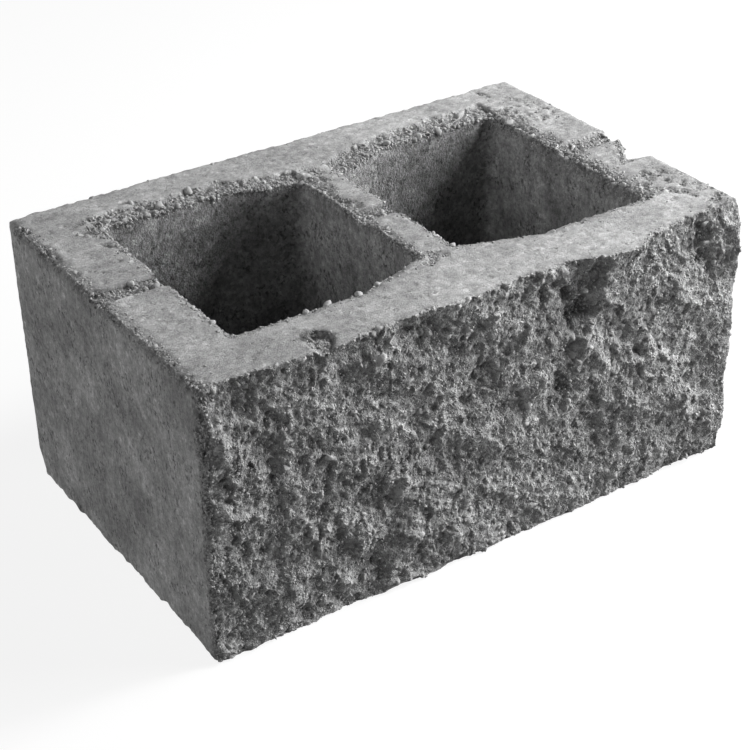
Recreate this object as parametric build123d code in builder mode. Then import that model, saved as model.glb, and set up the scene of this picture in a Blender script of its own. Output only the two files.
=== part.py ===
from build123d import *
import math
import os

# A split-face concrete block, cast in one piece with two cores. X runs along its length, the
# split face looks to -Y, and it stands on its bed with the side that was open in the mould up.
# Lengths are in millimetres. A value whose name ends in share or shares has no unit.

# The whole block: a 400 module less one mortar joint, measured over its most proud points
block_length = 390.0
block_depth = 257.0
block_height = 188.0
rear_corner_radius = 3.0

# The walls round the cores, as thick as they are at the top
end_web = 44.5
middle_web = 26.0
rear_shell = 41.5
core_width = 164.0

# The cores narrow downwards, so that the mould lifts off, and the middle web flares into both
# shells where it meets them
core_draft = 2.5
core_corner_radius = 10.0
flare_length = 50.0
flare_depth = 17.0
flare_toe_radius = 100.0
flare_heel_radius = 9.0

# The slot that the core bar left across the three webs
bar_slot_width = 17.5
bar_slot_depth = 5.0
bar_slot_draft = 1.5
bar_slot_root_radius = 2.0
bar_slot_from_rear = 123.5

# The moulded groove down the right end: one square flank, one slanted flank
groove_depth = 17.0
groove_square_flank_from_rear = 156.0
groove_slanted_lip_from_rear = 130.0
groove_square_lip_radius = 8.0
groove_slanted_lip_radius = 4.0
groove_root_radius = 2.5

# The break of the split face, between its most proud point and its deepest hollow
break_relief = 20.0
break_step_along = 11.0
break_step_up = 11.0

# Long waves of the break: waves along the length, waves up the height, start of the wave as a
# share of a turn, height as a share of the relief
break_wave_shares = (
    (1.7, 0.6, 0.10, 0.055),
    (3.3, -1.4, 0.55, 0.050),
    (5.9, 2.3, 0.80, 0.045),
    (4.6, 4.7, 0.30, 0.040),
    (9.4, -3.6, 0.15, 0.035),
)

# Hollows that the break left: place along the length and up the height, half length and half
# width as shares of the height, lean as a share of a turn, depth as a share of the relief
break_hollow_shares = (
    (0.667, 0.85, 0.106, 0.064, 0.21, 0.40),
    (0.803, 0.98, 0.037, 0.048, 0.00, 0.07),
    (0.741, 0.67, 0.080, 0.048, -0.17, 0.23),
    (0.631, 0.54, 0.080, 0.043, -0.21, 0.21),
    (0.700, 0.34, 0.101, 0.043, -0.18, 0.23),
    (0.751, 0.19, 0.064, 0.043, -0.17, 0.16),
    (0.285, 0.14, 0.112, 0.059, 0.22, 0.23),
    (0.277, 0.41, 0.069, 0.053, 0.00, 0.17),
    (0.213, 0.28, 0.096, 0.048, -0.19, 0.15),
    (0.108, 0.67, 0.085, 0.048, -0.18, 0.17),
    (0.059, 0.90, 0.064, 0.043, -0.18, 0.16),
    (0.269, 0.63, 0.059, 0.037, -0.17, 0.14),
    (0.913, 0.45, 0.074, 0.048, -0.17, 0.15),
    (0.926, 0.84, 0.085, 0.037, -0.21, 0.13),
    (0.364, 0.91, 0.069, 0.037, -0.08, 0.14),
    (0.479, 0.69, 0.043, 0.043, 0.00, 0.12),
    (0.997, 1.02, 0.059, 0.048, 0.00, 0.30),
    (0.964, -0.02, 0.170, 0.085, 0.00, 0.25),
    (0.800, -0.01, 0.181, 0.064, 0.00, 0.08),
    (0.874, 0.99, 0.053, 0.043, 0.00, 0.05),
)

# What stands out of the break, with a height for the depth: first the lip that juts out at the
# top edge, then ridges and swells
break_ridge_shares = (
    (0.728, 1.01, 0.101, 0.069, 0.00, 0.60),
    (0.226, 1.01, 0.117, 0.048, 0.00, 0.23),
    (0.097, 1.01, 0.106, 0.043, 0.00, 0.07),
    (0.372, 1.02, 0.181, 0.053, 0.00, 0.17),
    (0.503, 1.00, 0.064, 0.043, 0.00, 0.11),
    (0.303, 0.89, 0.074, 0.037, -0.01, 0.13),
    (0.023, 0.83, 0.080, 0.037, -0.19, 0.12),
    (0.036, 0.55, 0.085, 0.037, -0.15, 0.11),
    (0.241, 0.55, 0.064, 0.037, -0.15, 0.12),
    (0.710, 0.59, 0.117, 0.037, -0.15, 0.14),
    (0.136, 0.16, 0.096, 0.043, 0.22, 0.11),
    (0.346, 0.19, 0.064, 0.037, -0.14, 0.10),
    (0.785, 0.36, 0.096, 0.037, -0.14, 0.10),
    (0.995, 0.59, 0.383, 0.069, 0.25, 0.12),
    (0.551, 0.80, 0.064, 0.037, -0.19, 0.09),
    (0.821, 0.74, 0.160, 0.096, -0.14, 0.09),
)

# The chip out of the top edge of the split face
chip_radius = 13.0
chip_centre_rise = 8.0
chip_from_left_end = 81.0
chip_behind_front = 21.0

# How far a cutting shape runs past the block
overrun = 5.0

half_length = block_length / 2
front_y = -block_depth / 2
rear_y = block_depth / 2


def bulge(along_share, up_share, shares):
    """How far one hollow or ridge moves the break, at one place of the split face."""
    place_share, level_share, length_share, width_share, lean_share, depth_share = shares
    along = (along_share - place_share) * block_length
    up = (up_share - level_share) * block_height
    lean = 2 * math.pi * lean_share
    lengthwise = (along * math.cos(lean) + up * math.sin(lean)) / (length_share * block_height)
    crosswise = (up * math.cos(lean) - along * math.sin(lean)) / (width_share * block_height)
    return break_relief * depth_share * math.exp(-((lengthwise**2 + crosswise**2) ** 2) / 2)


def break_setback(along_share, up_share):
    """How far the break lies behind an even plane, at one place of the split face."""
    setback = 0.0
    for waves_along, waves_up, start_share, height_share in break_wave_shares:
        turn = waves_along * along_share + waves_up * up_share + start_share
        setback += break_relief * height_share * math.sin(2 * math.pi * turn)
    for shares in break_hollow_shares:
        setback += bulge(along_share, up_share, shares)
    for shares in break_ridge_shares:
        setback -= bulge(along_share, up_share, shares)
    return setback


# The break is taken at evenly spaced upright sections, and at levels up each section. The most
# proud of these points is the front of the block.
section_count = round(block_length / break_step_along)
level_count = round(block_height / break_step_up)
setbacks = [
    [break_setback(i / section_count, k / level_count) for k in range(level_count + 1)]
    for i in range(section_count + 1)
]
most_proud = min(min(section) for section in setbacks)

# One core as a solid of air, on the right of the middle web
core_rear_y = rear_y - rear_shell
core_front_y = core_rear_y - core_width
with BuildPart() as core:
    for level, inset in ((block_height, 0), (0, core_draft)):
        web_x = middle_web / 2 + inset
        end_x = half_length - end_web - inset
        toe_x = middle_web / 2 + flare_length
        near_y = core_front_y + inset
        far_y = core_rear_y - inset
        with BuildSketch(Plane.XY.offset(level)) as core_section:
            with BuildLine():
                Polyline(
                    (web_x, near_y + flare_depth),
                    (toe_x, near_y),
                    (end_x, near_y),
                    (end_x, far_y),
                    (toe_x, far_y),
                    (web_x, far_y - flare_depth),
                    close=True,
                )
            make_face()
            fillet(core_section.vertices().group_by(Axis.X)[1], flare_toe_radius)
            fillet(core_section.vertices().group_by(Axis.X)[-1], core_corner_radius - inset)
            fillet(core_section.vertices().group_by(Axis.X)[0], flare_heel_radius - inset)
    loft()

with BuildPart() as concrete_block:
    # The blank, with the break of the split face along its front
    for i, section_setbacks in enumerate(setbacks):
        section_x = -half_length + block_length * i / section_count
        with BuildSketch(Plane.YZ.offset(section_x)):
            with BuildLine():
                break_points = [
                    (front_y + setback - most_proud, block_height * k / level_count)
                    for k, setback in enumerate(section_setbacks)
                ]
                Polyline(*break_points, (rear_y, block_height), (rear_y, 0), close=True)
            make_face()
    loft(ruled=True)
    rear_corners = concrete_block.edges().filter_by(Axis.Z).group_by(Axis.Y)[-1]
    fillet(rear_corners, rear_corner_radius)

    # The two cores
    add(core.part, mode=Mode.SUBTRACT)
    mirror(core.part, about=Plane.YZ, mode=Mode.SUBTRACT)

    # The groove down the right end
    with BuildSketch() as groove_plan:
        square_y = rear_y - groove_square_flank_from_rear
        lip_y = rear_y - groove_slanted_lip_from_rear
        root_x = half_length - groove_depth
        mouth_low_y = square_y - groove_square_lip_radius - overrun
        mouth_high_y = lip_y + groove_slanted_lip_radius + overrun
        with BuildLine():
            Polyline(
                (half_length, mouth_low_y),
                (half_length, square_y),
                (root_x, square_y),
                (half_length, lip_y),
                (half_length, mouth_high_y),
                (half_length + overrun, mouth_high_y),
                (half_length + overrun, mouth_low_y),
                close=True,
            )
        make_face()
        root = groove_plan.vertices().sort_by(Axis.X)[0]
        fillet(root, groove_root_radius)
        square_lip = groove_plan.vertices().sort_by_distance((half_length, square_y))[0]
        fillet(square_lip, groove_square_lip_radius)
        slanted_lip = groove_plan.vertices().sort_by_distance((half_length, lip_y))[0]
        fillet(slanted_lip, groove_slanted_lip_radius)
    extrude(amount=block_height, mode=Mode.SUBTRACT)

    # The core bar's slot
    with BuildSketch(Plane.YZ) as slot_section:
        slot_y = rear_y - bar_slot_from_rear
        root_half = bar_slot_width / 2 - bar_slot_draft
        root_z = block_height - bar_slot_depth
        with BuildLine():
            Polyline(
                (slot_y - bar_slot_width / 2, block_height),
                (slot_y - root_half, root_z),
                (slot_y + root_half, root_z),
                (slot_y + bar_slot_width / 2, block_height),
                close=True,
            )
        make_face()
        fillet(slot_section.vertices().group_by(Axis.Y)[0], bar_slot_root_radius)
    extrude(amount=half_length + overrun, both=True, mode=Mode.SUBTRACT)

    # The chip in the top edge
    chip_place = (
        -half_length + chip_from_left_end,
        front_y + chip_behind_front,
        block_height + chip_centre_rise,
    )
    with Locations(chip_place):
        Sphere(chip_radius, rotation=(90, 0, 0), mode=Mode.SUBTRACT)

concrete_block.part.label = "concrete_block"

os.makedirs("parts", exist_ok=True)
export_step(concrete_block.part, "parts/concrete_block.step")
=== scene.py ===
import math

import bmesh
import bpy
import numpy as np
from mathutils import Matrix, Vector, noise


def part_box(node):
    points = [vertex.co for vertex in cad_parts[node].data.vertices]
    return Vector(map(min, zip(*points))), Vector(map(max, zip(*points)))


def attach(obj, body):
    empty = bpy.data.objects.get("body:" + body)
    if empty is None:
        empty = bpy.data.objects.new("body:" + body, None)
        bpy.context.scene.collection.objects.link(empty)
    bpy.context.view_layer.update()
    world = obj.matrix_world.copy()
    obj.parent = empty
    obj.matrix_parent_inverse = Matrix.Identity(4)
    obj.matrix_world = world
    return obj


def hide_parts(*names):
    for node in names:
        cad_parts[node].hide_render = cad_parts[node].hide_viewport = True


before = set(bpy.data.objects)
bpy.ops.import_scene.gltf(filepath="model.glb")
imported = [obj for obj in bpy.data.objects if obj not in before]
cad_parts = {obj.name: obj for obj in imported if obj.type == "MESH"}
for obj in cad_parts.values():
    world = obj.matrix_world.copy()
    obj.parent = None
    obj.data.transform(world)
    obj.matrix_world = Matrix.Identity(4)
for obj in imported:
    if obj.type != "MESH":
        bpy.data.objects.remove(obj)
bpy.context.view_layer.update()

# The cast body: one piece of dry, gravelly concrete, pressed into a steel mould under a tamper
# and pushed out while green. The mould left flat, grainy faces, and the tamper's shoes left
# smooth pads on top. Its form is the solid's, cut into fine faces. Sizes are in millimetres.
mm = 0.001
fine_step = 0.8
most_faces = 196_000
low, high = (np.array(corner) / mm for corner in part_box("concrete_block"))
left_end, _, bed = low
right_end, rear, top = high

body = bpy.data.objects.new("cast_body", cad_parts["concrete_block"].data.copy())
bpy.context.collection.objects.link(body)
shell = bmesh.new()
shell.from_mesh(body.data)
bmesh.ops.remove_doubles(shell, verts=shell.verts, dist=mm / 1000)
shell.to_mesh(body.data)
shell.free()


def apply_modifiers(piece):
    """Puts what the modifiers make into the piece's own mesh."""
    evaluated = piece.evaluated_get(bpy.context.evaluated_depsgraph_get())
    made = bpy.data.meshes.new_from_object(evaluated)
    piece.modifiers.clear()
    piece.data = made


remesh = body.modifiers.new("fine_faces", "REMESH")
remesh.mode = "VOXEL"
remesh.voxel_size = fine_step * mm
apply_modifiers(body)


def read(source, name):
    """One value of a mesh, such as its corners' places, as rows of three numbers."""
    rows = np.empty(len(source) * 3, np.float32)
    source.foreach_get(name, rows)
    return rows.reshape(-1, 3).astype(float)


spots = read(body.data.vertices, "co") / mm
normals = read(body.data.vertex_normals, "vector")


def ramp(value, start, end):
    """0 up to start and 1 past end, with a smooth rise between. Start may be the larger."""
    share = np.clip((value - start) / (end - start), 0, 1)
    return share * share * (3 - 2 * share)


def bumps(points, size, octaves, seed):
    """Soft random bumps from about -1 to 1. The widest are about size across."""
    shift = Vector((17.3, 5.1, 9.7)) * seed
    return np.array([noise.fractal(Vector(p) + shift, 1.0, 2.0, octaves) for p in points / size])


def stones(points, size, seed):
    """Splits space into stones about size across. Gives how high each spot lies on its stone's
    round back, from 0 to 1, and the stone's own three numbers from -1 to 1."""
    shift = Vector((3.9, 11.3, 7.1)) * seed
    found = [noise.voronoi(Vector(p) + shift) for p in points / size]
    away = np.array([far[0] for far, _ in found])
    back = np.sqrt(np.clip(1 - (away / 0.5) ** 2, 0, 1))
    own = np.array([noise.cell_vector(middles[0] * 9.7) for _, middles in found]) * 2 - 1
    return back, own


def near_top(heights):
    """1 in the top few millimetres of the block, and 0 further down."""
    return ramp(heights, top - 9, top - 6)


# The break. The block was pressed as half of a double block and split off with a blade, so this
# face is torn through paste, sand and stones. The scars are hollows and, with a depth under 0,
# ridges: along, up, half length, half width, lean in degrees, depth.
scars = (
    (113, 107, 7, 4, -50, 2.0),
    (60, 126, 6, 5, 90, 3.0),
    (103, 124, 9, 6, -60, 2.4),
    (118, 104, 6, 4, -30, 2.4),
    (53, 104, 11, 6, -75, 2.6),
    (81, 84, 9, 4, -65, 1.6),
    (82, 57, 12, 7, -70, 2.2),
    (115, 41, 6, 4, -45, 1.8),
    (-87, 70, 7, 4, -20, 1.4),
    (-82, 22, 6, 5, 0, 1.4),
    (-112, 62, 9, 4, -70, 1.6),
    (-152, 121, 8, 4, -60, 1.6),
    (-151, 155, 6, 5, 0, 2.4),
    (-160, 67, 7, 5, 0, 2.2),
    (-88, 117, 7, 3, -55, 1.6),
    (-78, 141, 5, 4, 0, 2.0),
    (-108, 123, 4, 3, 0, 2.4),
    (-41, 175, 8, 4.5, -60, 2.2),
    (-63, 178, 5, 3.5, 0, 1.6),
    (-11, 128, 4, 3, 0, 1.8),
    (-31, 142, 4, 3, 0, 2.0),
    (-20, 115, 4, 3, 0, 1.8),
    (38, 170, 6, 4, -60, 2.2),
    (47, 174, 5, 3, -60, 1.6),
    (53, 168, 14, 5, -62, 4.5),
    (68, 147, 12, 8, 0, 4.0),
    (72, 150, 8, 5, -70, 2.0),
    (166, 160, 14, 4, -82, 2.6),
    (186, 160, 16, 4.5, -86, 3.6),
    (161, 66, 8, 5, -30, 1.8),
    (174, 56, 5, 3.5, 0, 2.0),
    (165, 105, 5, 5, 0, 1.8),
    (-108, 44, 6, 5, 0, 2.0),
    (-187, 14, 5, 4, 0, 2.0),
    (-134, 11, 5, 4, 0, 2.0),
    (-110, 10, 5, 4, 0, 2.0),
    (-78, 168, 9, 3, -5, -1.4),
    (-187, 158, 10, 3, -70, -1.4),
    (-180, 103, 9, 3, -52, -1.2),
    (-100, 103, 6, 3, -50, -1.4),
    (-64, 72, 8, 5, 60, -1.8),
    (-58, 36, 6, 3, -40, -1.2),
    (86, 109, 12, 3, -50, -1.4),
    (46, 86, 9, 5, -60, -1.6),
    (66, 71, 7, 5, 0, -1.6),
    (116, 66, 8, 4, -45, -1.4),
    (148, 58, 7, 5, 0, -1.4),
)
rear_to_split = 244.5
torn_zone = 25.0
split_plane = rear - rear_to_split
behind = spots[:, 1] - split_plane
near_break = np.flatnonzero(behind < torn_zone)
broken_spots = spots[near_break]
flat = broken_spots * (1, 0, 1)
shake = np.column_stack([bumps(flat, size=9, octaves=3, seed=seed) for seed in (4, 6, 8)])
ragged = flat + 2.6 * shake
setback = -0.6 * bumps(flat, size=15, octaves=2, seed=5)
for along, up, half_length, half_width, lean, depth in scars:
    lean = math.radians(lean)
    right, rise = ragged[:, 0] - along, ragged[:, 2] - up
    lengthwise = (right * math.cos(lean) + rise * math.sin(lean)) / half_length
    crosswise = (rise * math.cos(lean) - right * math.sin(lean)) / half_width
    setback += depth * ramp(np.hypot(lengthwise, crosswise), 1.35, 0.35)
calm = 0.4 + 0.6 * ramp(right_end - broken_spots[:, 0], 3, 22)
hold = ramp(behind[near_break], torn_zone - 2, 7)
spots[near_break, 1] += setback * hold * calm


# Finer relief of the break, along the way out of the face: lumps of paste, the backs and sockets
# of stones, and the facets that the crack left
def facets(points, size, tilt, scoop, seed):
    """Facets that a crack leaves, about size across. Each is tilted its own way and scooped."""
    shift = Vector((5.3, 2.9, 13.1)) * seed
    proud = np.empty(len(points))
    for i, point in enumerate(points / size):
        place = Vector(point) + shift
        far, middles = noise.voronoi(place)
        own = noise.cell_vector(middles[0] * 9.7) - Vector((0.5, 0.5, 0.5))
        proud[i] = 2 * tilt * own.dot(place - middles[0]) + scoop * far[0] ** 2
    return proud * size


def torn_relief(points):
    """How proud torn concrete stands at each spot."""
    lumps = bumps(points, size=7, octaves=4, seed=9)
    small_lumps = bumps(points, size=2.8, octaves=3, seed=11)
    proud = 1.1 * lumps + 0.8 * small_lumps
    for size, height_share, seed in ((5.0, 0.13, 7), (3.0, 0.18, 12)):
        back, own = stones(points, size, seed)
        proud += size * height_share * back * own[:, 0]
    return proud


facing = ramp(-normals[near_break, 1], 0.15, 0.6) * ramp(behind[near_break], torn_zone - 2, 17)
torn = np.flatnonzero(facing > 0)
at_torn = near_break[torn]
wide_facets = facets(ragged[torn], size=21, tilt=0.07, scoop=0.10, seed=2)
small_facets = facets(ragged[torn], size=11, tilt=0.09, scoop=0.12, seed=5)
relief = torn_relief(broken_spots[torn])
relief += wide_facets + small_facets - 0.7
spots[at_torn, 1] -= relief * facing[torn] * (0.3 + 0.7 * calm[torn])
broken_share = np.zeros(len(spots))
broken_share[near_break] = facing

# The chip in the top edge, torn like the break. Its floor slopes down gently from the left to a
# steep flank on the right, and it runs out through the break. Its flanks on the right, at the
# back, on the left and in front: steepness, a point of the rim, the way in from there.
chip_x, chip_y, chip_reach, chip_depth_limit = -114.0, -107.5, 11.0, 2.6
chip_flanks = (
    (1.5, (-111.5, -97.0), (-0.837, -0.547)),
    (0.8, (-111.5, -97.0), (0.332, -0.943)),
    (0.45, (-123.0, -97.0), (1.0, 0.0)),
    (1.6, (-103.5, -109.3), (-0.858, 0.515)),
)
from_chip = np.hypot(spots[:, 0] - chip_x, spots[:, 1] - chip_y)
chipped = np.flatnonzero((from_chip < chip_reach + 7) & (spots[:, 2] > top - 9))
chip_spots = spots[chipped]
level = chip_spots * (1, 1, 0)
shake = np.column_stack([bumps(level, size=5, octaves=3, seed=seed) for seed in (15, 16)])
plan = chip_spots[:, :2] + 1.1 * shake
slopes = [steep * ((plan - point) @ np.array(way_in)) for steep, point, way_in in chip_flanks]
chip_depth = np.clip(np.min(slopes, axis=0), 0, chip_depth_limit)
torn_share = ramp(chip_depth, 0.1, 1.0)
chip_floor = top - chip_depth + (1.1 * torn_relief(level) - 0.9) * torn_share
dug = (from_chip[chipped] < chip_reach) & (normals[chipped, 2] > 0.4)
spots[chipped, 2] = np.where(dug, chip_floor, np.minimum(chip_spots[:, 2], chip_floor))
broken_share[chipped] = np.maximum(broken_share[chipped], torn_share)
chipped_share = np.zeros(len(spots))
chipped_share[chipped] = torn_share

# The cores and the slot of the core bar, where they meet the top. The slot was left a little
# askew at the right web.
core_middle_y, core_half_depth = 5.0, 82.0
core_web_x, core_end_x = 13.0, 150.5
flare_length, flare_depth = 50.0, 17.0
slot_y, slot_half_width, slot_depth = 5.0, 8.75, 5.0
slot_skew, slot_bend_start, slot_bend_end = 5.0, 138.0, 158.0
far_off = 100.0


def core_gaps(points):
    """How far spots of the top lie outside the cores: behind their rear rims, before their front
    rims, and past the rims on their right and on their left. Far off a rim gives a large gap."""
    x, y = points[:, 0], points[:, 1]
    flared = np.clip((core_web_x + flare_length - np.abs(x)) / flare_length, 0, 1)
    half = core_half_depth - flare_depth * flared
    beside = (np.abs(x) > core_web_x - 2) & (np.abs(x) < core_end_x + 3)
    off_middle = np.abs(y - core_middle_y)
    at_end = off_middle < core_half_depth + 2
    at_web = off_middle < core_half_depth - flare_depth + 2
    on_right, on_left = x > core_web_x, x < -core_web_x
    gaps = (
        (beside, y - core_middle_y - half),
        (beside, core_middle_y - y - half),
        (np.where(on_right, at_end, at_web), np.where(on_right, x - core_end_x, x + core_web_x)),
        (np.where(on_left, at_end, at_web), np.where(on_left, -core_end_x - x, core_web_x - x)),
    )
    return [np.where(here & (gap > -3), gap, far_off) for here, gap in gaps]


def from_slot(points):
    """How far spots lie from the middle of the slot."""
    return np.abs(points[:, 1] - slot_y - slot_skew * ramp(points[:, 0], slot_bend_start, slot_bend_end))


# Where the tamper missed the top, in patches: middle along and back, half sizes, how much of
# the patch is open. The concrete there never met a shoe, so it is loose gravel.
open_patches = (
    (175, 75, 20, 26, 0.48),
    (175, -68, 22, 32, 0.48),
    (184, -95, 12, 20, 0.55),
    (-8, -68, 14, 12, 0.45),
    (-4, 72, 10, 16, 0.60),
    (-160, 88, 10, 14, 0.50),
    (-158, 50, 6, 30, 0.38),
    (165, 115, 3, 12, 0.50),
)
patch_openness = 0.6
open_drop = 1.3


def openness(points):
    """How open the gravel is at each spot of the top, from 0 on a pad to 1."""
    x, y, z = points.T
    edge = bumps(points * (1, 1, 0), size=11.0, octaves=3, seed=2)
    fleck = bumps(points * (1, 1, 0), size=7.0, octaves=2, seed=14)
    behind_rim, before_rim, right_rim, left_rim = core_gaps(points)
    rear_part = ramp(y, 0, 20)
    loose = np.where(x > 100, 0.8, 0.8 * rear_part)
    right_start, right_full = 6 + 4 * rear_part, 1 + 2 * rear_part
    found = ramp(behind_rim + 6 * edge, 17, 12)
    found = np.maximum(found, loose * ramp(right_rim + 5 * edge, right_start, right_full))
    found = np.maximum(found, 0.35 * ramp(before_rim + 2.5 * edge, 3.2, 1.0))
    found = np.maximum(found, 0.45 * ramp(left_rim + 2.5 * edge, 3.2, 1.0))
    for along, back, half_x, half_y, share in open_patches:
        within = ramp(np.hypot((x - along) / half_x, (y - back) / half_y), 1.1, 0.6)
        patch = within * ramp(fleck, 0.45 - share, 0.75 - share)
        found = np.maximum(found, patch_openness * patch)
    in_slot = ramp(from_slot(points), slot_half_width + 0.5, slot_half_width - 2.5)
    return np.maximum(found, in_slot) * near_top(z)


# The moulded faces: shallow waves, grains, and drag marks that run up the ends and walls
upright = (1 - ramp(np.abs(normals[:, 2]), 0.3, 0.8)) * (1 - broken_share)
drag = bumps(spots * (1, 1, 0.2), size=3.0, octaves=3, seed=21)
grain = bumps(spots, size=1.9, octaves=2, seed=22)
waves = bumps(spots, size=34, octaves=3, seed=23)
moulded = 0.35 * waves + upright * (0.14 * drag + 0.06 * grain)

# The slot at the right web, moved to where it was left
on_top = near_top(spots[:, 2]) * ramp(normals[:, 2], 0.2, 0.8) * (1 - chipped_share)
beside_slot = (np.abs(spots[:, 1] - slot_y) < 20) & (spots[:, 2] > top - 9)
askew = np.flatnonzero((spots[:, 0] > slot_bend_start) & beside_slot)
past_core = ramp(spots[askew, 0], core_end_x + 0.5, core_end_x + 2.5)
moved = past_core * ramp(right_end - spots[askew, 0], 0.3, 1.0)
slot_profile = ramp(from_slot(spots[askew]), slot_half_width, slot_half_width - 2.5)
slot_floor = top - slot_depth * slot_profile
spots[askew, 2] += moved * np.where(normals[askew, 2] > 0.1, slot_floor - spots[askew, 2], 0)

# The top face: smooth pads with a few pits, and open gravel between them
topped = np.flatnonzero(on_top > 0)
top_spots = spots[topped]
open_share = openness(top_spots)
back, own = stones(top_spots, size=4.4, seed=31)
lumps = 2.4 * back * (0.5 + 0.5 * own[:, 0]) - 1.2
back, own = stones(top_spots, size=2.3, seed=33)
lumps += 0.9 * back * (0.5 + 0.5 * own[:, 0]) - 0.4
pads = 0.12 * grain[topped] + 0.22 * bumps(top_spots * (1, 1, 0), size=5.0, octaves=3, seed=35)
back, own = stones(top_spots, size=3.6, seed=37)
pits = 0.8 * ramp(back, 0.80, 0.98) * (own[:, 1] > 0.25)
slot_fill = 2.6 * ramp(top - top_spots[:, 2], slot_depth - 2.5, slot_depth - 1.0)
moulded[topped] += on_top[topped] * (
    open_share * (lumps - open_drop) + (1 - open_share) * (pads - pits)
)
moulded *= ramp(spots[:, 2], bed, bed + 1.5)

# The lips of the walls, which crumble down with the open gravel
lips = np.flatnonzero((on_top < 0.9) & (upright > 0.1) & (spots[:, 2] > top - 6))
lip_bumps = bumps(spots[lips], size=5, octaves=3, seed=39)
lip_drop = openness(spots[lips]) * (open_drop + 0.5 + 0.8 * lip_bumps)
spots[lips, 2] -= lip_drop * ramp(spots[lips, 2], top - 6, top - 0.5)
spots += normals * moulded[:, None]
spots[topped, 2] += on_top[topped] * slot_fill


# The arrises are worn and crumbled: each is rounded to a radius that wanders along it
def wear(points, out_a, depth_a, out_b, depth_b, radius):
    """Rounds one arris. Each of its two faces has a unit vector out of it, and how deep the
    points lie behind it."""
    short_a = np.clip(radius - depth_a, 0, None)
    short_b = np.clip(radius - depth_b, 0, None)
    reach = np.hypot(short_a, short_b)
    cut = (short_a > 0) & (short_b > 0) & (reach > radius)
    over = np.where(cut, 1 - radius / np.maximum(reach, 1e-6), 0)
    return points - np.outer(over * short_a, out_a) - np.outer(over * short_b, out_b)


left, right = np.array([-1.0, 0, 0]), np.array([1.0, 0, 0])
forward, backward = np.array([0, -1.0, 0]), np.array([0, 1.0, 0])
upward, downward = np.array([0, 0, 1.0]), np.array([0, 0, -1.0])
to_left, to_right = (left, -left_end), (right, right_end)
to_rear, to_top, to_bed = (backward, rear), (upward, top), (downward, -bed)
to_break = (forward, -split_plane)
to_break_right = (forward, -(split_plane - 3.5))
to_break_low = (forward, -(split_plane - 1.0 + 4.5 * ramp(spots[:, 0], 105, 165)))
low_down = ramp(spots[:, 2], bed + 22, bed + 3)
at_break = ramp(spots[:, 1] - split_plane, 29, 3)
at_slot = ramp(np.abs(spots[:, 1] - slot_y), 12.0, 4.0)
at_rear_left = ramp(np.hypot(rear - spots[:, 1], spots[:, 0] - left_end), 18, 5)
crumble = 1.7 * bumps(spots, size=6.0, octaves=4, seed=41)
crumble += 1.3 * bumps(spots, size=28.0, octaves=2, seed=42)
gaps_below = bumps(spots * (1, 1, 0.3), size=16.0, octaves=3, seed=48)
for first, second, radius in (
    (to_left, to_top, 2.3 + 1.3 * crumble + 4.5 * at_slot + 2.0 * at_rear_left),
    (to_left, to_bed, 4.0 + crumble + 4.0 * gaps_below),
    (to_right, to_top, 2.6 + crumble),
    (to_right, to_bed, 2.2 + crumble + 8 * at_break),
    (to_rear, to_top, 2.0 + 1.5 * crumble + 1.5 * at_rear_left),
    (to_rear, to_bed, 1.8 + crumble),
    (to_rear, to_left, 4.2 + 0.6 * crumble + 8 * low_down),
    (to_rear, to_right, 2.4 + crumble),
    (to_break, to_left, 2.2 + crumble),
    (to_break_right, to_right, 2.0 + crumble),
    (to_break_low, to_bed, 2.4 + crumble + 3.0 * gaps_below),
):
    (out_a, at_a), (out_b, at_b) = first, second
    depth_a, depth_b = at_a - spots @ out_a, at_b - spots @ out_b
    spots = wear(spots, out_a, depth_a, out_b, depth_b, np.clip(radius, 0.4, None))

# The worn lip of the groove's slanted flank: the way out of the flank, how far out it stands
groove_flank, groove_flank_at = np.array([0.837, -0.547, 0]), 164.0
beside_groove = (spots[:, 0] > 168) & (np.abs(spots[:, 1] + 14) < 17)
by_groove = np.flatnonzero(beside_groove & (spots[:, 2] > top - 14))
flank_depth = groove_flank_at - spots[by_groove] @ groove_flank
flank_below = top - spots[by_groove, 2]
soft = np.clip(3.4 + 1.2 * crumble[by_groove], 1.0, None)
spots[by_groove] = wear(spots[by_groove], groove_flank, flank_depth, upward, flank_below, soft)

# The rims of the cores: the way out of the wall, how loose the rim is, and how much more ragged
# it is in the right core
rims = np.flatnonzero(spots[:, 2] > top - 14)
rim_radius = np.clip(2.0 + 1.2 * crumble[rims], 0.6, None)
rim_share = np.zeros(len(rims))
for i, (way_out, loose_share, more_ragged) in enumerate((
    (forward, 0.9, 0.0),
    (backward, 0.35, 0.0),
    (left, 0.9, 1.2),
    (right, 0.5, 0.0),
)):
    gap = core_gaps(spots[rims])[i]
    ragged_share = 1 + more_ragged * ramp(spots[rims, 0], 120, 145)
    below = top - spots[rims, 2]
    spots[rims] = wear(spots[rims], way_out, gap, upward, below, rim_radius * ragged_share)
    near_rim = ramp(np.hypot(gap, below), 7.0 * ragged_share, 2.5)
    rim_share = np.maximum(rim_share, loose_share * near_rim)

# Crumbs on what is worn: the rims, the two arrises of the left end, and the groove's lip
from_left = spots[:, 0] - left_end
uneven = 0.45 + 0.55 * ramp(bumps(spots, size=16, octaves=3, seed=47), -0.25, 0.35)
from_arris = np.hypot(from_left, top - spots[:, 2])
left_arris = uneven * ramp(from_arris, 8.5 + 4.0 * at_slot, 2.5)
left_arris *= ramp(rear - spots[:, 1], 4, 18)
worn_share = left_arris.copy()
worn_share[rims] = np.maximum(worn_share[rims], rim_share)
flank_share = ramp(np.hypot(flank_depth, flank_below), 9.0, 4.0)
worn_share[by_groove] = np.maximum(worn_share[by_groove], 0.8 * flank_share)
to_front = np.clip(spots[:, 1] - split_plane, 0, None)
worn_share = np.maximum(worn_share, ramp(np.hypot(from_left, to_front), 6.0, 2.5))
worn = np.flatnonzero(worn_share > 0)

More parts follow.
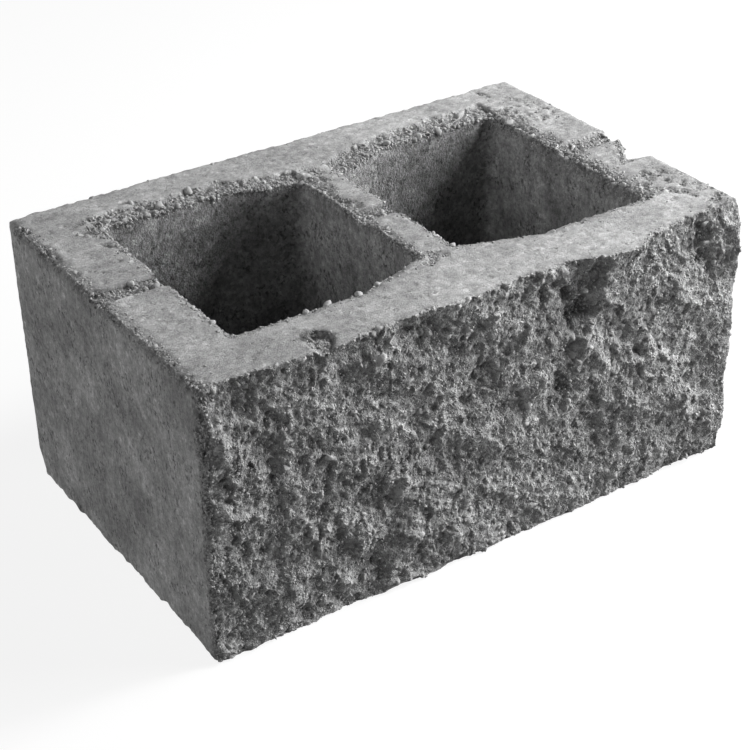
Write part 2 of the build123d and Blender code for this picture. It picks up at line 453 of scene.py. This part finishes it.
# Painted shade on each spot, darker in recesses where shade falls: the sockets and deeper parts
# of the break, a painted shadow in the deep hollow under the lip, the chip and the left arris.
# Proud parts and the swell to the right of the hollow get less, painted light where they face the lamps.
behind_mean = spots[at_torn, 1] - split_plane
torn_x, torn_z = spots[at_torn, 0], spots[at_torn, 2]
painted_lip_shadow = ramp(np.hypot((torn_x - 66) / 20, (torn_z - 160) / 24), 1.1, 0.5)
painted_swell_light = ramp(np.hypot((torn_x - 114) / 24, (torn_z - 158) / 26), 1.2, 0.5)
painted_shade = np.zeros(len(spots))
painted_shade[at_torn] = 0.14 - relief / 3.3 + 0.85 * ramp(behind_mean, 2.0, 9.0)
painted_shade[at_torn] -= 0.25 * ramp(behind_mean, 0.0, -4.0)
painted_shade[at_torn] += 0.20 * painted_lip_shadow - 0.20 * painted_swell_light
painted_shade[chipped] += 0.10 * torn_share
painted_shade += 0.3 * left_arris

back, own = stones(spots[worn], size=3.4, seed=45)
crumbs = 1.6 * back * own[:, 0] + 0.9 * bumps(spots[worn], size=4.0, octaves=3, seed=46) - 0.7
crumbs *= 1 + 0.5 * left_arris[worn]
spots[worn] += normals[worn] * (crumbs * worn_share[worn])[:, None]
spots[:, 2] = np.clip(spots[:, 2], bed, None)
body.data.vertices.foreach_set("co", (spots * mm).astype(np.float32).ravel())

# Marks on the body, which its finish and the loose stones read
open_mark = np.zeros(len(spots))
open_mark[topped] = open_share * on_top[topped]
in_depth = np.abs(spots[:, 1] - core_middle_y) < core_half_depth + 2
in_core = (np.abs(spots[:, 0]) < core_end_x + 3) & in_depth
# Walls that face left, more so in the right core, are spared some of the cores' painted shade: painted
# light from the left
painted_fill_light = 0.25 + 0.2 * (spots[:, 0] > 100)
faces_left = ramp(-normals[:, 0], 0.3, 0.8)
for name, share in (
    ("core_wall", upright * in_core * (1 - faces_left * painted_fill_light)),
    # painted shade of the recesses of the break, the chip and the left arris
    ("painted_shade", np.clip(painted_shade, 0, 1)),
    ("broken", broken_share),
    ("open", open_mark),
    ("upright", upright),
    ("worn", worn_share),
):
    attribute = body.data.attributes.new(name, "FLOAT", "POINT")
    attribute.data.foreach_set("value", share.astype(np.float32))
body.data.update()

thin = body.modifiers.new("fewer_faces", "DECIMATE")
thin.ratio = most_faces / (2 * len(body.data.polygons))
thin.use_collapse_triangulate = True
apply_modifiers(body)
body.data.name = "cast_body"
body.data.set_sharp_from_angle(angle=math.radians(65))


class Finish:
    """One material under way, with short names for adding nodes to it and joining them."""

    def __init__(self, material):
        material.use_nodes = True
        self.tree = material.node_tree
        self.shader = self.tree.nodes["Principled BSDF"]
        self.place = self.add("TexCoord").outputs["Object"]

    def add(self, kind, inputs=(), **settings):
        node = self.tree.nodes.new("ShaderNode" + kind)
        for name, value in settings.items():
            setattr(node, name, value)
        for name, value in dict(inputs).items():
            if isinstance(value, bpy.types.NodeSocket):
                self.tree.links.new(value, node.inputs[name])
            else:
                node.inputs[name].default_value = value
        return node

    def join(self, source, name):
        self.tree.links.new(source, self.shader.inputs[name])

    def math(self, operation, first, second, third=0.5):
        node = self.add("Math", {0: first, 1: second, 2: third}, operation=operation)
        return node.outputs[0]

    def noise(self, size, detail=3.0, rough=0.55, stretch=(1, 1, 1)):
        """Random clouds about size mm across, from 0 to 1. Stretch is below 1 along a streak."""
        place = self.add("VectorMath", {0: self.place, 1: stretch}, operation="MULTIPLY")
        inputs = {"Scale": 1 / (size * mm), "Detail": detail, "Roughness": rough}
        return self.add("TexNoise", inputs | {"Vector": place.outputs[0]}).outputs["Fac"]

    def grains(self, size):
        """Random grains about size mm across. Gives the way from each middle, and two tones."""
        cells = self.add("TexVoronoi", {"Vector": self.place, "Scale": 1 / (size * mm)})
        tones = self.add("SeparateColor", {"Color": cells.outputs["Color"]})
        return cells.outputs["Distance"], tones.outputs[0], tones.outputs[1]

    def mark(self, name):
        return self.add("Attribute", attribute_name=name).outputs["Fac"]

    def rise(self, value, start, end):
        """0 at start and 1 at end, with a smooth rise between."""
        inputs = {"Value": value, "From Min": start, "From Max": end}
        return self.add("MapRange", inputs, interpolation_type="SMOOTHSTEP").outputs[0]

    def vary(self, tone, pattern, amount):
        """The tone, made up to half the amount lighter or darker by a pattern from 0 to 1."""
        lighter = self.math("SUBTRACT", pattern, 0.5)
        return self.math("MULTIPLY", tone, self.math("MULTIPLY_ADD", lighter, amount, 1.0))

    def paint(self, tone):
        """Gives the material this grey."""
        self.join(self.add("CombineColor", {0: tone, 1: tone, 2: tone}).outputs[0], "Base Color")

    def roughen(self, height, strength, depth):
        """Gives the material a grain up to depth mm high."""
        inputs = {"Height": height, "Strength": strength, "Distance": depth * mm}
        self.join(self.add("Bump", inputs).outputs["Normal"], "Normal")


# The finish of pressed concrete: grey paste with specks of sand and pale flecks of stone. The
# ends and the core walls are streaked upwards and pitted, and what is open is darker. Painted
# shade darkens the core walls further down, the worn arrises and rims in part, and the sockets
# and hollows of the break, the chip and the left arris.
concrete_grey = 0.40
concrete = bpy.data.materials.new("pressed_concrete")
pressed = Finish(concrete)
rough_share = pressed.mark("broken")
for name, amount in (("open", 0.8), ("worn", 0.8), ("core_wall", 0.7)):
    share = pressed.math("MULTIPLY", pressed.mark(name), amount)
    rough_share = pressed.math("MAXIMUM", rough_share, share)
on_upright, on_core = pressed.mark("upright"), pressed.mark("core_wall")

cloud = pressed.noise(45, 4)
grain_middle, grain_tone, fleck_tone = pressed.grains(2.4)
stone_middle, stone_tone, bared_tone = pressed.grains(5.5)
streaks = pressed.math("MULTIPLY_ADD", on_core, -0.35, pressed.math("MULTIPLY", on_upright, 1.75))
tone = concrete_grey
for pattern, amount in (
    (pressed.rise(cloud, 0.3, 0.7), 0.34),
    (pressed.rise(pressed.noise(7, 4, 0.65), 0.3, 0.7), 0.40),
    (pressed.noise(1.5, 3, 0.75), 1.25),
    (grain_tone, pressed.math("MULTIPLY_ADD", rough_share, 0.50, 0.16)),
    (stone_tone, pressed.math("MULTIPLY_ADD", rough_share, 0.40, 0.06)),
    (pressed.noise(2.4, 4, 0.8, stretch=(1, 1, 0.5)), streaks),
    (pressed.rise(pressed.noise(30, 4, 0.6), 0.32, 0.68), pressed.math("MULTIPLY", on_upright, 0.42)),
):
    tone = pressed.vary(tone, pattern, amount)

pits = pressed.rise(pressed.noise(2.6, 3, 0.6, stretch=(1, 1, 0.7)), 0.52, 0.62)
pits = pressed.math("MULTIPLY", pits, pressed.rise(pressed.noise(18, 4, 0.6), 0.46, 0.60))
pinholes = pressed.rise(pressed.noise(1.3, 1, 0.5, stretch=(1, 1, 0.7)), 0.60, 0.70)
pinholes = pressed.math("MULTIPLY", pinholes, pressed.rise(pressed.noise(11, 2), 0.42, 0.56))
place = pressed.add("SeparateXYZ", {"Vector": pressed.place}).outputs
deep = pressed.rise(place["Z"], top * mm, (top - 110) * mm)
for darkened, amount in (
    (pressed.math("MULTIPLY", pits, on_upright), 0.62),
    (pinholes, 0.35),
    # Painted shade down the cores: the core walls darken, more so further down
    (pressed.math("MULTIPLY", on_core, pressed.math("MULTIPLY_ADD", deep, 0.08, 0.35)), 1.0),
    # The worn arrises and rims darken, partly as painted shade among their crumbs
    (pressed.mark("worn"), 0.36),
    # painted shade of the recesses of the break, the chip and the left arris
    (pressed.mark("painted_shade"), 0.64),
    (pressed.mark("open"), 0.35),
):
    kept_light = pressed.math("SUBTRACT", 1.0, pressed.math("MULTIPLY", darkened, amount))
    tone = pressed.math("MULTIPLY", tone, kept_light)

flecks = pressed.rise(grain_middle, 0.34, 0.22)
flecks = pressed.math("MULTIPLY", flecks, pressed.rise(fleck_tone, 0.86, 0.90))
bared = pressed.rise(stone_middle, 0.40, 0.28)
bared = pressed.math("MULTIPLY", bared, pressed.rise(bared_tone, 0.90, 0.93))
# A little lighter towards the rear
toward_rear = pressed.rise(place["Y"], 92 * mm, 108 * mm)
for lightened, amount in ((pressed.math("MAXIMUM", flecks, bared), 0.32), (toward_rear, 0.07)):
    more_light = pressed.math("MULTIPLY_ADD", lightened, amount, 1.0)
    tone = pressed.math("MULTIPLY", tone, more_light)
pressed.paint(tone)

pressed.join(pressed.math("MULTIPLY_ADD", cloud, 0.2, 0.78), "Roughness")
pressed.shader.inputs["Specular IOR Level"].default_value = 0.25
grain_height = pressed.math("MULTIPLY_ADD", rough_share, 0.6, 0.45)
grain_height = pressed.math("MULTIPLY", pressed.noise(1.0, 3, 0.7), grain_height)
socket = pressed.math("MULTIPLY", pressed.math("MULTIPLY", grain_middle, -0.5), rough_share)
pressed.roughen(pressed.math("ADD", grain_height, socket), strength=1.0, depth=1.3)

body.data.materials.clear()
body.data.materials.append(concrete)
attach(body, "root")
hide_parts("concrete_block")

# The stones that the break bared: rounded river gravel, held by the paste round it and standing
# half out of the torn face. All gravel and sand has one washed finish, a little uneven in tone.
gravel = bpy.data.materials.new("washed_gravel")
washed = Finish(gravel)
tone = washed.math("MULTIPLY", washed.mark("tone"), concrete_grey)
washed.paint(washed.vary(tone, washed.noise(2.2, 3, 0.7), 0.5))
washed.shader.inputs["Roughness"].default_value = 0.8
washed.shader.inputs["Specular IOR Level"].default_value = 0.3
washed.roughen(washed.noise(0.9, 2, 0.6), strength=0.6, depth=0.5)


def stone_forms(count, fineness, roughness, seed):
    """Makes a few rounded stones of about radius 1. Gives their corners, and their faces."""
    ball = bmesh.new()
    bmesh.ops.create_icosphere(ball, subdivisions=fineness, radius=1.0)
    corners = np.array([corner.co for corner in ball.verts])
    faces = np.array([[corner.index for corner in face.verts] for face in ball.faces])
    ball.free()
    forms = []
    for i in range(count):
        shift = Vector((2.3, 7.9, 4.1)) * (seed + i)
        swell = [noise.fractal(Vector(c) * 1.2 + shift, 1.0, 2.0, 2) for c in corners]
        forms.append(corners * (1 + roughness * np.array(swell))[:, None])
    return np.array(forms), faces


body_spots = read(body.data.vertices, "co") / mm
body_faces = np.empty(len(body.data.loops), int)
body.data.loops.foreach_get("vertex_index", body_faces)
body_faces = body_faces.reshape(-1, 3)
body_marks = {}
for name in ("broken", "open", "worn"):
    share = np.empty(len(body_spots), np.float32)
    body.data.attributes[name].data.foreach_get("value", share)
    body_marks[name] = share.astype(float)


def pick_spots(share, count, draw):
    """Picks places on the body at random, with more of them where the share is high. Gives the
    places and the ways out of the body there."""
    a, b, c = (body_spots[body_faces[:, i]] for i in range(3))
    way_out = np.cross(b - a, c - a)
    area = np.linalg.norm(way_out, axis=1)
    chance = area * share[body_faces].mean(axis=1)
    chosen = draw.choice(len(area), size=count, p=chance / chance.sum())
    mix = draw.dirichlet((1, 1, 1), size=count)
    places = sum(mix[:, [i]] * body_spots[body_faces[chosen, i]] for i in range(3))
    return places, way_out[chosen] / area[chosen, None]


def keep_apart(places, radii, share):
    """Which of the stones stay if none may lie nearer than a share of the two radii."""
    reach = 2 * share * radii.max()
    cells, kept = {}, []
    steps = (-1, 0, 1)
    around = [(u, v, w) for u in steps for v in steps for w in steps]
    for i, (place, radius) in enumerate(zip(places, radii)):
        a, b, c = (place // reach).astype(int)
        near = [j for u, v, w in around for j in cells.get((a + u, b + v, c + w), ())]
        if all(math.dist(place, places[j]) > share * (radius + radii[j]) for j in near):
            cells.setdefault((a, b, c), []).append(i)
            kept.append(i)
    return np.array(kept)


def unit(rows):
    return rows / np.linalg.norm(rows, axis=1, keepdims=True)


def set_stones(name, places, ways_out, radii, forms, tones, sink, draw):
    """Makes one piece of many stones. Each lies flat on the concrete, a little askew, with its
    middle a share of its radius below the surface."""
    shapes, faces = forms
    count, corner_count = len(places), shapes.shape[1]
    up = unit(ways_out + draw.normal(0, 0.3, (count, 3)))
    side = unit(np.cross(up, draw.normal(0, 1, (count, 3))))
    turned = np.stack([side, np.cross(up, side), up], axis=1)
    flattened = draw.uniform((0.95, 0.75, 0.55), (1.35, 1.0, 0.85), (count, 3))
    sizes = flattened * radii[:, None]
    corners = shapes[draw.integers(len(shapes), size=count)] * sizes[:, None, :]
    middles = places - ways_out * (sink * radii)[:, None]
    corners = corners @ turned + middles[:, None, :]
    corners[:, :, 2] = np.clip(corners[:, :, 2], bed + 0.05, None)
    first = np.arange(count)[:, None, None] * corner_count
    all_faces = (first + faces).reshape(-1, 3)
    mesh = bpy.data.meshes.new(name)
    mesh.from_pydata((corners.reshape(-1, 3) * mm).tolist(), [], all_faces.tolist())
    mesh.shade_smooth()
    attribute = mesh.attributes.new("tone", "FLOAT", "POINT")
    attribute.data.foreach_set("value", np.repeat(tones, corner_count).astype(np.float32))
    mesh.materials.append(gravel)
    piece = bpy.data.objects.new(name, mesh)
    bpy.context.collection.objects.link(piece)
    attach(piece, "root")


pebble_forms = stone_forms(14, fineness=2, roughness=0.8, seed=1)
draw = np.random.default_rng(7)
radii = 1.1 + 1.5 * draw.random(1500) ** 3.0
places, ways_out = pick_spots(body_marks["broken"], len(radii), draw)
kept = keep_apart(places, radii, 0.9)
tones = draw.normal(1.02, 0.16, len(kept)).clip(0.6, 1.55)
set_stones("break_stones", places[kept], ways_out[kept], radii[kept], pebble_forms, tones, 0.5, draw)

# The larger stones that the break bared, paler and rounder than the rest and held in the torn
# face the same way: along, up, radius, tone
bared_stones = (
    (9, 153, 2.64, 1.40),
    (-1, 127, 3.08, 1.35),
    (29, 98, 3.19, 1.30),
    (-10, 115, 2.20, 1.15),
    (28, 88, 2.42, 1.10),
    (-98, 104, 3.52, 1.25),
    (-80, 168, 3.08, 1.20),
    (-87, 167, 2.42, 1.15),
    (-67, 166, 2.86, 1.15),
    (97, 167, 2.86, 1.25),
    (91, 164, 2.31, 1.20),
    (105, 171, 2.64, 1.15),
    (121, 155, 2.42, 1.25),
    (113, 163, 2.09, 1.15),
    (137, 183, 2.42, 1.10),
    (60, 182, 2.42, 1.10),
    (160, 81, 3.08, 1.00),
    (178, 148, 2.20, 1.20),
    (173, 42, 2.64, 1.20),
    (8, 41, 3.30, 1.05),
    (-66, 73, 3.08, 1.10),
    (-54, 35, 2.86, 1.15),
    (52, 137, 2.64, 1.00),
    (48, 76, 1.98, 1.15),
    (192, 84, 2.42, 1.20),
    (107, 16, 2.20, 1.10),
)
round_forms = stone_forms(9, fineness=2, roughness=0.4, seed=70)
torn_part = body_spots[body_marks["broken"] > 0.5]
places = []
for along, up, _, _ in bared_stones:
    near = np.hypot(torn_part[:, 0] - along, torn_part[:, 2] - up) < 2.5
    places.append((along, np.median(torn_part[near, 1]), up))
_, _, radii, tones = np.array(bared_stones).T
ways_out = np.tile(forward, (len(places), 1))
draw = np.random.default_rng(8)
set_stones("bared_stones", np.array(places), ways_out, radii, round_forms, tones, 0.55, draw)

# The coarse sand of the break and the worn arrises. The mix is sharp sand with little paste, so
# grains stand out wherever it is torn. They are made as two pieces, to stay light.
grit_forms = stone_forms(20, fineness=1, roughness=1.1, seed=40)
for name, seed in (("break_sand_1", 11), ("break_sand_2", 12)):
    draw = np.random.default_rng(seed)
    radii = draw.uniform(0.5, 1.05, 9500)
    sandy = body_marks["broken"] + 0.8 * body_marks["worn"]
    places, ways_out = pick_spots(sandy, len(radii), draw)
    tones = draw.normal(1.0, 0.2, len(radii)).clip(0.5, 1.6)
    set_stones(name, places, ways_out, radii, grit_forms, tones, 0.35, draw)

# The gravel of the rims, the slot and the open patches of the top. No shoe pressed it, so it
# lies loose and high, stuck to the concrete by a film of paste.
draw = np.random.default_rng(21)
radii = 0.9 + 1.6 * draw.random(2300) ** 1.6
places, ways_out = pick_spots(body_marks["open"] ** 2, len(radii), draw)
kept = keep_apart(places, radii, 0.8)
ways_out = unit(ways_out[kept] + (0, 0, 0.6))
tones = draw.normal(0.93, 0.15, len(kept)).clip(0.5, 1.3)
set_stones("rim_gravel", places[kept], ways_out, radii[kept], pebble_forms, tones, 0.45, draw)

# Single larger stones at the cores' rims and in the pads, pressed in by the tamper's edge:
# along, back, radius, share of the radius that the middle lies below the top
rim_stones = (
    (-88, -76.5, 3.23, 0.62),
    (-67, -77.5, 3.04, 0.60),
    (-52, -74, 2.09, 0.35),
    (-103, -78, 1.90, 0.35),
    (12, -59, 2.47, 0.40),
    (-153, -58, 2.28, 0.40),
    (-154, -37, 1.90, 0.40),
    (-191, -63, 2.28, 0.55),
    (-190, 41, 2.47, 0.50),
    (132, 99, 3.23, 0.50),
    (-81, 101, 2.755, 0.50),
    (-107, 93, 2.47, 0.40),
    (64, 89, 2.28, 0.40),
    (42, 95, 2.09, 0.40),
    (178, 55, 2.28, 0.60),
    (152, 68, 2.85, 0.45),
    (151, -54, 2.09, 0.60),
    (-163, 51, 2.09, 0.55),
    (58, -93, 2.85, 0.80),
    (45, -97, 1.805, 0.75),
    (130, -102, 2.09, 0.75),
    (-178, -99, 1.90, 0.70),
    (-96, 127, 2.09, 0.45),
    (-49, 127, 1.615, 0.35),
    (-137, 127, 1.71, 0.40),
)
along, back, radii, sink = np.array(rim_stones).T
count = len(rim_stones)
places = np.column_stack([along, back, np.full(count, top)])
ways_out = np.tile(upward, (count, 1))
draw = np.random.default_rng(9)
set_stones("rim_stones", places, ways_out, radii, round_forms, np.ones(count), sink, draw)

# The grit between the gravel and on the worn rims: the same sharp sand as in the break, with
# a darker tone as painted shade, since it lies deep in the open parts
draw = np.random.default_rng(22)
radii = draw.uniform(0.45, 1.05, 6500)
gritty = body_marks["open"] + 0.6 * body_marks["worn"]
places, ways_out = pick_spots(gritty, len(radii), draw)
tones = draw.normal(0.88, 0.2, len(radii)).clip(0.4, 1.3)
set_stones("rim_grit", places, ways_out, radii, grit_forms, tones, 0.15, draw)

# The studio floor, a wide pale sheet that the block stands on. It looks nearly white and keeps
# the shadow, and it sends little light back up.
floor_half = 6.0
floor_mesh = bpy.data.meshes.new("floor")
signs = ((-1, -1), (1, -1), (1, 1), (-1, 1))
floor_corners = [(x * floor_half, y * floor_half, 0) for x, y in signs]
floor_mesh.from_pydata(floor_corners, [], [(0, 1, 2, 3)])
floor = bpy.data.objects.new("floor", floor_mesh)
bpy.context.collection.objects.link(floor)
pale = bpy.data.materials.new("pale_floor")
sheet = Finish(pale)
path = sheet.add("LightPath")
seen = sheet.math("MAXIMUM", path.outputs["Is Camera Ray"], path.outputs["Is Glossy Ray"])
seen = sheet.math("MAXIMUM", seen, path.outputs["Is Transmission Ray"])
sheet.paint(sheet.math("MULTIPLY_ADD", seen, 0.03, 0.14))
sheet.shader.inputs["Roughness"].default_value = 1.0
sheet.shader.inputs["Specular IOR Level"].default_value = 0.0
sheet.shader.inputs["Emission Color"].default_value = (1, 1, 1, 1)
sheet.join(sheet.math("MULTIPLY", seen, 0.86), "Emission Strength")
floor_mesh.materials.append(pale)

# The studio light: two soft lamps near the block on the right, one high and one low in front, a
# wide fill from the left, and a dim sky that looks white
aim = Vector((0, 0, 100)) * mm
for name, size, energy, place in (
    ("key", 0.42, 25.5, (1120, -250, 1070)),
    ("low_key", 0.90, 30.0, (1500, -780, 480)),
):
    lamp = bpy.data.lights.new(name, "AREA")
    lamp.shape = "DISK"
    lamp.size = size
    lamp.energy = energy
    key = bpy.data.objects.new(name, lamp)
    key.location = Vector(place) * mm
    key.rotation_mode = "QUATERNION"
    key.rotation_quaternion = (key.location - aim).to_track_quat("Z", "Y")
    bpy.context.collection.objects.link(key)

fill_lamp = bpy.data.lights.new("fill", "SUN")
fill_lamp.energy = 0.97
fill_lamp.angle = math.radians(60)
fill = bpy.data.objects.new("fill", fill_lamp)
fill.rotation_mode = "QUATERNION"
fill.rotation_quaternion = Vector((-0.90, 0.0, 0.38)).to_track_quat("Z", "Y")
bpy.context.collection.objects.link(fill)

world = bpy.data.worlds.new("sky")
bpy.context.scene.world = world
world.use_nodes = True
sky_nodes, sky_links = world.node_tree.nodes, world.node_tree.links
path = sky_nodes.new("ShaderNodeLightPath")
seen_sky = sky_nodes.new("ShaderNodeMath")
seen_sky.operation = "MAXIMUM"
sky_links.new(path.outputs["Is Camera Ray"], seen_sky.inputs[0])
sky_links.new(path.outputs["Is Glossy Ray"], seen_sky.inputs[1])
strength = sky_nodes.new("ShaderNodeMapRange")
strength.inputs["To Min"].default_value = 0.02
strength.inputs["To Max"].default_value = 1.0
sky_links.new(seen_sky.outputs[0], strength.inputs["Value"])
sky_nodes["Background"].inputs["Color"].default_value = (1, 1, 1, 1)
sky_links.new(strength.outputs[0], sky_nodes["Background"].inputs["Strength"])

# The camera stands to the left of the split face and looks down on the block. Its place, its
# turns and its lens come from a fit to the block's straight edges.
photo_width, focal_pixels = 750, 1782.44
camera_place = Vector((-549.80, -835.17, 682.11)) * mm
turn, tilt, roll = math.radians(-33.0405), math.radians(90 - 31.460), math.radians(-1.1011)
camera_data = bpy.data.cameras.new("camera")
camera_data.sensor_width = 36.0
camera_data.lens = camera_data.sensor_width * focal_pixels / photo_width
camera = bpy.data.objects.new("camera", camera_data)
camera.matrix_world = (
    Matrix.Translation(camera_place)
    @ Matrix.Rotation(turn, 4, "Z")
    @ Matrix.Rotation(tilt, 4, "X")
    @ Matrix.Rotation(roll, 4, "Z")
)
bpy.context.collection.objects.link(camera)
bpy.context.scene.camera = camera
bpy.context.scene.view_settings.view_transform = "Standard"
